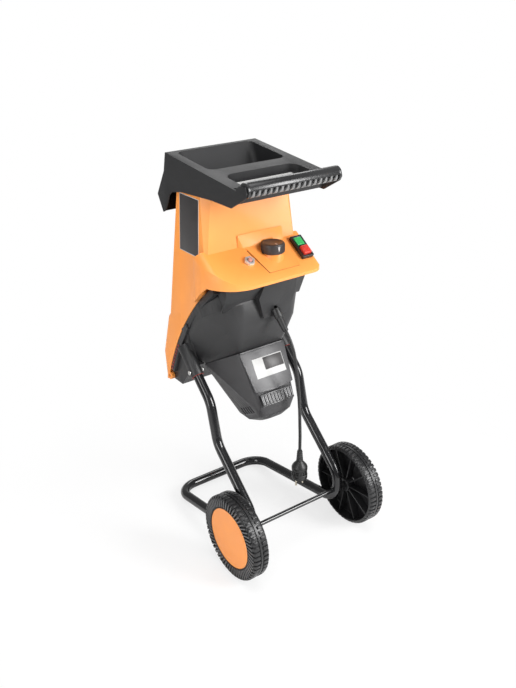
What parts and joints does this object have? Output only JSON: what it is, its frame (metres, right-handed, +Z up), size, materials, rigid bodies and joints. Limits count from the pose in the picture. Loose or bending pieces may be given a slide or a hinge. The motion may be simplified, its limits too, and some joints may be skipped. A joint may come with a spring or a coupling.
{
  "type": "garden shredder",
  "caption": "Electric garden shredder on a two-wheeled tube stand, with a hopper and carry handle, a tilting upper housing, a locking knob, a switch, and a blade disc driven by a motor.",
  "frame": {"origin": "on the ground under the middle of the machine's overall box", "axes": "+Z up, +Y to the back of the machine, +X to the right seen from the front"},
  "size_m": [0.359, 0.432, 0.846],
  "materials": {
    "stand_paint": "gloss black powder coat",
    "steel": "plain machined or zinc plated",
    "black_plastic": "satin moulded",
    "wheel_plastic": "matt moulded",
    "orange_plastic": "satin moulded",
    "charcoal_plastic": "fine moulded grain",
    "grey_plastic": "fine moulded grain",
    "black_rubber": "smooth",
    "plated_brass": "bright",
    "cast_aluminium": "as cast",
    "copper": "turned",
    "green_plastic": "gloss",
    "red_plastic": "gloss",
    "chrome": "polished"
  },
  "bodies": {
    "chassis": {"stand_tube": "stand_paint", "axle": "stand_paint", "axle_spacers": "black_plastic", "push_nuts": "steel", "leg_bolts": "steel", "lower_housing": "charcoal_plastic", "motor_cover": "grey_plastic", "cover_screws": "steel", "lock_keeper": "steel", "interlock_switch": "black_plastic", "hinge_pins": "steel", "strain_relief": "black_rubber", "power_cord": "black_rubber", "plug_body": "black_rubber", "plug_pins": "plated_brass", "stator": "steel", "brush_holders": "plated_brass", "motor_end_plate": "cast_aluminium", "upper_bearing": "steel", "lower_bearing": "steel"},
    "left_wheel": {"left_wheel": "wheel_plastic", "left_hub_cap": "orange_plastic"},
    "right_wheel": {"right_wheel": "wheel_plastic", "right_hub_cap": "orange_plastic"},
    "rotor": {"motor_shaft": "steel", "armature": "steel", "commutator": "copper", "cooling_fan": "black_plastic", "blade_disc": "steel", "blades": "steel", "blade_bolts": "steel", "disc_bolt": "steel"},
    "upper_housing": {"upper_housing": "orange_plastic", "hopper": "charcoal_plastic", "carry_handle": "charcoal_plastic", "feed_chute": "charcoal_plastic", "counter_blade": "steel", "counter_blade_screws": "steel", "hopper_screws": "steel", "knob_console": "orange_plastic", "switch_body": "black_plastic", "breaker": "black_plastic", "breaker_nut": "chrome"},
    "knob": {"lock_knob": "black_plastic", "lock_bolt": "steel"},
    "start_button": {"start_button": "green_plastic"},
    "stop_button": {"stop_button": "red_plastic"},
    "reset_button": {"reset_button": "red_plastic"}
  },
  "joints": [
    {"name": "left_wheel_spin", "type": "hinge", "parent": "chassis", "child": "left_wheel", "pos_m": [-0.1595, -0.121, 0.095], "axis": [1, 0, 0], "continuous": true},
    {"name": "right_wheel_spin", "type": "hinge", "parent": "chassis", "child": "right_wheel", "pos_m": [0.1595, -0.121, 0.095], "axis": [1, 0, 0], "continuous": true},
    {"name": "rotor_spin", "type": "hinge", "parent": "chassis", "child": "rotor", "pos_m": [0, 0.086, 0.49], "axis": [0, 0.5, 0.866], "continuous": true},
    {"name": "upper_housing_tilt", "type": "hinge", "parent": "chassis", "child": "upper_housing", "pos_m": [0, 0.185, 0.338], "axis": [-1, 0, 0], "range_deg": [0, 65]},
    {"name": "knob_turn", "type": "hinge", "parent": "upper_housing", "child": "knob", "pos_m": [0.035, 0.008, 0.651], "axis": [0, 0, 1], "range_deg": [0, 360]},
    {"name": "start_button_press", "type": "slide", "parent": "upper_housing", "child": "start_button", "axis": [0, 0.5592, -0.829], "range_m": [0, 0.003], "stiffness_N_per_m": 400},
    {"name": "stop_button_press", "type": "slide", "parent": "upper_housing", "child": "stop_button", "axis": [0, 0.5592, -0.829], "range_m": [0, 0.003], "stiffness_N_per_m": 400},
    {"name": "reset_button_press", "type": "slide", "parent": "upper_housing", "child": "reset_button", "axis": [0, 0.5592, -0.829], "range_m": [0, 0.0025], "stiffness_N_per_m": 400}
  ]
}
